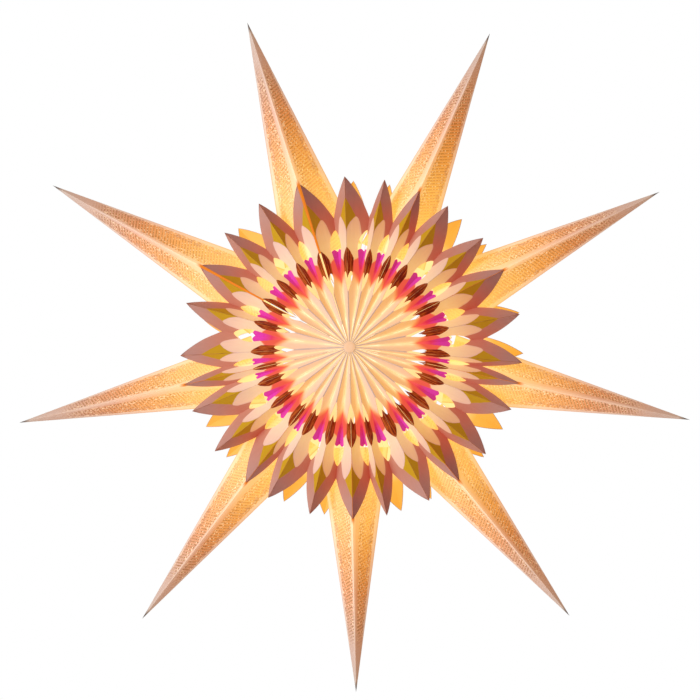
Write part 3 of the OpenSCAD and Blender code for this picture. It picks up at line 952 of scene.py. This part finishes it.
def eyelet_maker():
    """One row of small slots on a facet, along +Y in millimetres: low beads, turned this way and that."""
    sizes = {
        "First": 40.0,
        "Last": 200.0,
        "Pitch": 4.0,
        "Share": 0.4,
        "Reach": float(POINT_REACH),
        "Ridge slope": RIDGE_SLOPE,
        "Side slope": math.tan(half_angle(1)),
        "Tilt": 0.5,
        "Length": 1.3,
        "Width": 0.45,
        "Side": 1.0,
        "Front": 1.0,
        "Seed": 1,
        "Material": TISSUE,
    }
    g = Maker("eyelets", sizes)
    count = (g.size("Last") - g.size("First")) / g.size("Pitch")
    origin = {"Count": count, "Start Location": (0, 0, 0), "Offset": (0, 0, 0)}
    line = g.node("GeometryNodeMeshLine", {"mode": "OFFSET"}, origin)
    index = g.node("GeometryNodeInputIndex")
    shift = g.random(-0.2, 0.2, g.size("Seed"))
    grown = g.random(0.75, 1.2, g.size("Seed") + 7)
    u = g.size("First") + (index + shift) * g.size("Pitch")
    ridge_slope, side_slope = g.size("Ridge slope"), g.size("Side slope")
    share, side, front = g.size("Share"), g.size("Side"), g.size("Front")
    right = side * share * side_slope
    forward = front * (1 - share) * ridge_slope
    place = g.joined(right * u, g.size("Reach") - u, forward * u)
    along = g.joined(right, -1.0, forward)
    outwards = g.joined(side * ridge_slope, ridge_slope * side_slope, front * side_slope)
    axes = {"primary_axis": "Z", "secondary_axis": "Y"}
    turned = g.node("FunctionNodeAxesToRotation", axes, {0: outwards, 1: along})

    # Every second slot leans the other way
    swing = (index % 2.0 * 2 - 1) * g.size("Tilt") + shift * 1.5
    local = g.node("FunctionNodeEulerToRotation", None, {0: g.joined(0.0, 0.0, swing)})
    both = g.node("FunctionNodeRotateRotation", {"rotation_space": "LOCAL"}, {0: turned, 1: local})
    bead = g.node("GeometryNodeMeshUVSphere", None, {"Segments": 4, "Rings": 2, "Radius": 1.0})
    scale = g.joined(g.size("Width") * grown, g.size("Length") * grown, BEAD_PROUD)
    moved = g.node("GeometryNodeSetPosition", None, {"Geometry": line, "Position": place})
    beads = {"Points": moved, "Instance": bead, "Rotation": both, "Scale": scale}
    many = g.node("GeometryNodeInstanceOnPoints", None, beads)
    g.end(many)
    return g


POINT_MAKER = folded_point_maker()
EYELETS = eyelet_maker()
# Each row's share of the way across the facet, its pitch, and its slots' tilt, length and width
EYELET_ROWS = [
    (0.34, 4.1, 0.55, 0.75, 0.42),
    (0.44, 5.3, -0.6, 0.62, 0.38),
    (0.66, 6.1, 0.5, 0.7, 0.36),
    (0.85, 4.9, -0.5, 0.6, 0.36),
]
ROWS_FROM, ROW_STAGGER, ROWS_TO = 42.0, 3, 204.0
FACETS_ROUND = [(1.0, 1.0), (-1.0, 1.0), (1.0, -1.0), (-1.0, -1.0)]

for k in POINTS:
    tan_half = math.tan(half_angle(k))
    tip_depth = PAPER_T * math.hypot(RIDGE_SLOPE, side_slope(k), 1) / RIDGE_SLOPE
    turned = STAND @ Matrix.Rotation(-math.radians(bearing(k)), 4, "Z")
    sizes = {
        "Inner reach": POINT_REACH - tip_depth,
        "Root": root_u(k),
        "Side slope": tan_half,
        "Seed": float(3 * k),
    }
    mesh = POINT_MAKER.mesh(sizes)
    mesh.transform(turned)
    lined = [d.value for d in mesh.attributes["lined"].data]

    def on_lining(face):
        return sum(lined[v] for v in face.vertices) > 0

    put(mesh, f"point_sheet_{k}", [FACETS, LINING], on_lining, "point_paper", f"point_{k}")
    rows = []
    for i, (share, pitch, tilt, length, width) in enumerate(EYELET_ROWS):
        for j, (side, front) in enumerate(FACETS_ROUND):
            row = {
                "First": ROWS_FROM + ROW_STAGGER * i,
                "Last": ROWS_TO,
                "Pitch": pitch,
                "Share": share - NARROWED if side > 0 and share < 0.5 else share,
                "Side slope": tan_half,
                "Tilt": tilt,
                "Length": length,
                "Width": width,
                "Side": side,
                "Front": front,
                "Seed": 100 * k + 10 * i + j,
            }
            rows.append(EYELETS.mesh(row))
    builder = bmesh.new()
    for row in rows:
        builder.from_mesh(row)
        bpy.data.meshes.remove(row)
    mesh = bpy.data.meshes.new("eyelets")
    builder.to_mesh(mesh)
    builder.free()
    mesh.transform(turned)
    put(mesh, f"eyelets_{k}", [TISSUE], unlined, "point_paper")


# ---------------------------------------------------------------- ribs of the lamp's collar and holder


def rib_ring_maker():
    """A ring of low rounded ribs round +Z in millimetres, each lying outwards down a slope or standing up."""
    sizes = {
        "Count": 24,
        "Radius": 26.0,
        "Height": 60.0,
        "Lean": 0.0,
        "Length": 3.0,
        "Width": 0.6,
        "Proud": 0.4,
        "Material": COLLAR,
    }
    g = Maker("rib_ring", sizes)
    ring = g.node("GeometryNodeMeshCircle", None, {"Vertices": g.size("Count"), "Radius": g.size("Radius")})
    lift = g.joined(0.0, 0.0, g.size("Height"))
    raised = g.node("GeometryNodeSetPosition", None, {"Geometry": ring, "Offset": lift})
    x, y, _ = g.parts(g.node("GeometryNodeInputPosition"))
    turn = g.node("ShaderNodeMath", {"operation": "ARCTAN2"}, {0: y, 1: x})
    around = g.node("FunctionNodeEulerToRotation", None, {0: g.joined(0.0, g.size("Lean"), turn)})
    bead = g.node("GeometryNodeMeshUVSphere", None, {"Segments": 10, "Rings": 6, "Radius": 1.0})
    scale = g.joined(g.size("Length"), g.size("Width"), g.size("Proud"))
    many = {"Points": raised, "Instance": bead, "Rotation": around, "Scale": scale}
    g.end(g.node("GeometryNodeInstanceOnPoints", None, many))
    return g


# The collar's tube, flange and floor, and the holder's shoulder, as in the part's source
SEAT_GAP = 0.15
TUBE_R = BACK_R - 4 * SEAT_GAP
COLLAR_R = 31
COLLAR_T = 2
FLOOR_BACK = INLET_MOUTH - 12
SHOULDER_R = 16.5
flange_drop = RIDGE_SLOPE + 0.4 * COLLAR_T / (COLLAR_R - TUBE_R)
flange_middle = (TUBE_R + COLLAR_R) / 2
flange_back = APEX_H - RIDGE_SLOPE * flange_middle + SEAT_GAP + 0.8 * COLLAR_T
RIBS = rib_ring_maker()
# Each ring's name, finish and count, its radius and height, and its ribs' lean, length, width and height
RINGS = [
    ("collar_ribs", COLLAR, 36, flange_middle, flange_back, math.atan(flange_drop), 3.4, 0.75, 0.9),
    ("holder_grips", HOLDER, 30, SHOULDER_R, FLOOR_BACK + SEAT_GAP + 1.6, math.pi / 2, 1.3, 0.6, 0.7),
]
for name, finish, count, radius, height, lean, length, width, proud in RINGS:
    sizes = {"Count": count, "Radius": radius, "Height": height, "Lean": lean}
    sizes.update({"Length": length, "Width": width, "Proud": proud, "Material": finish})
    mesh = RIBS.mesh(sizes)

    # The rings are drawn as seen from behind, so they are turned over into place
    mesh.transform(STAND @ Matrix.Rotation(math.pi, 4, "X"))
    put(mesh, name, [finish], unlined, "lamp_plastic")


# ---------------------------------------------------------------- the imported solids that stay

STAYING = {
    "hub_button": CARD,
    "hub_washer": CARD,
    "lamp_collar": COLLAR,
    "clamp_ring": COLLAR,
    "lamp_holder": HOLDER,
    "holder_nut": HOLDER,
    "screw_shell": BRASS,
    "contact_tab": BRASS,
    "bulb_cap": STEEL,
    "bulb_globe": OPAL,
}
for name, finish in STAYING.items():
    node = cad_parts[name]
    node.data.materials.clear()
    node.data.materials.append(finish)


# ---------------------------------------------------------------- ground, lights and camera


def ground():
    """Pale floor that keeps the star's shadow, and turns into the white background further off."""
    g = Finish("ground")
    x, y, _ = g.parts(g.place)
    seen = g.seen()
    far = ((x * x + y * y) ** 0.5).rise(0.9, 2.2)
    tone = g.mixed(seen, (0.5, 0.5, 0.5), (0.86, 0.86, 0.86))
    plain = g.node("ShaderNodeBsdfDiffuse", None, {"Color": tone})
    white = g.node("ShaderNodeEmission", None, {"Color": (1, 1, 1), "Strength": 1.0})
    both = g.node("ShaderNodeMixShader", None, {0: seen * (0.5 + far * 0.5), 1: plain, 2: white})
    g.node("ShaderNodeOutputMaterial", None, {"Surface": both}, None)
    return g.material


FLOOR_DROP = 0.9
FLOOR_REACH = 6

mesh = bpy.data.meshes.new("floor")
builder = bmesh.new()
bmesh.ops.create_grid(builder, x_segments=8, y_segments=8, size=FLOOR_REACH)
bmesh.ops.translate(builder, verts=builder.verts, vec=(0, 0, -FLOOR_DROP))
builder.to_mesh(mesh)
builder.free()
mesh.materials.append(ground())
floor = bpy.data.objects.new("floor", mesh)
bpy.context.scene.collection.objects.link(floor)

world = bpy.data.worlds.new("room")
bpy.context.scene.world = world
world.use_nodes = True
g = Graph(world.node_tree)
AMBIENT = 0.08
strength = g.seen() * (1 - AMBIENT) + AMBIENT
sky = g.node("ShaderNodeBackground", None, {"Color": (1, 1, 1), "Strength": strength})
g.node("ShaderNodeOutputWorld", None, {"Surface": sky}, None)

CENTRE = Vector((0, -INLET_MOUTH * MM, 0))


def lamp(name, towards, distance, size, power):
    """A soft square light that shines on the star's centre from that direction."""
    data = bpy.data.lights.new(name, "AREA")
    data.shape = "SQUARE"
    data.size = size
    data.energy = power
    light = bpy.data.objects.new(name, data)
    bpy.context.scene.collection.objects.link(light)
    away = Vector(towards).normalized()
    light.location = CENTRE + away * distance
    light.rotation_euler = (-away).to_track_quat("-Z", "Y").to_euler()


# The main light comes from the left in front, as in the photograph, and a second one lights the back
KEY_BEARING, KEY_RISE = math.radians(-80), math.radians(60)
low = math.cos(KEY_RISE)
key = (low * math.sin(KEY_BEARING), -math.sin(KEY_RISE), low * math.cos(KEY_BEARING))
lamp("key", key, distance=2.6, size=1.2, power=58)
lamp("back", (0.3, 0.9, 0.35), distance=2.6, size=1.4, power=50)

# The camera stands a little to the right of the star's axis and a little below it
TURN, LIFT = math.radians(2.6), math.radians(-0.9)
DISTANCE = 3.75
FRAME_WIDTH = 0.6115
PHOTO_WIDTH = 700
AIM_RIGHT, AIM_UP = -3.1, -1.6  # where the photograph's middle lies from the star's, in its pixels
SENSOR = 36
back = Vector((math.sin(TURN) * math.cos(LIFT), -math.cos(TURN) * math.cos(LIFT), math.sin(LIFT)))
aim = CENTRE + Vector((AIM_RIGHT, 0, AIM_UP)) * FRAME_WIDTH / PHOTO_WIDTH
camera_data = bpy.data.cameras.new("camera")
camera_data.sensor_width = SENSOR
camera_data.lens = SENSOR * DISTANCE / FRAME_WIDTH
camera = bpy.data.objects.new("camera", camera_data)
bpy.context.scene.collection.objects.link(camera)
camera.location = aim + back * DISTANCE
camera.rotation_euler = (-back).to_track_quat("-Z", "Y").to_euler()
bpy.context.scene.camera = camera
bpy.context.scene.view_settings.view_transform = "Standard"
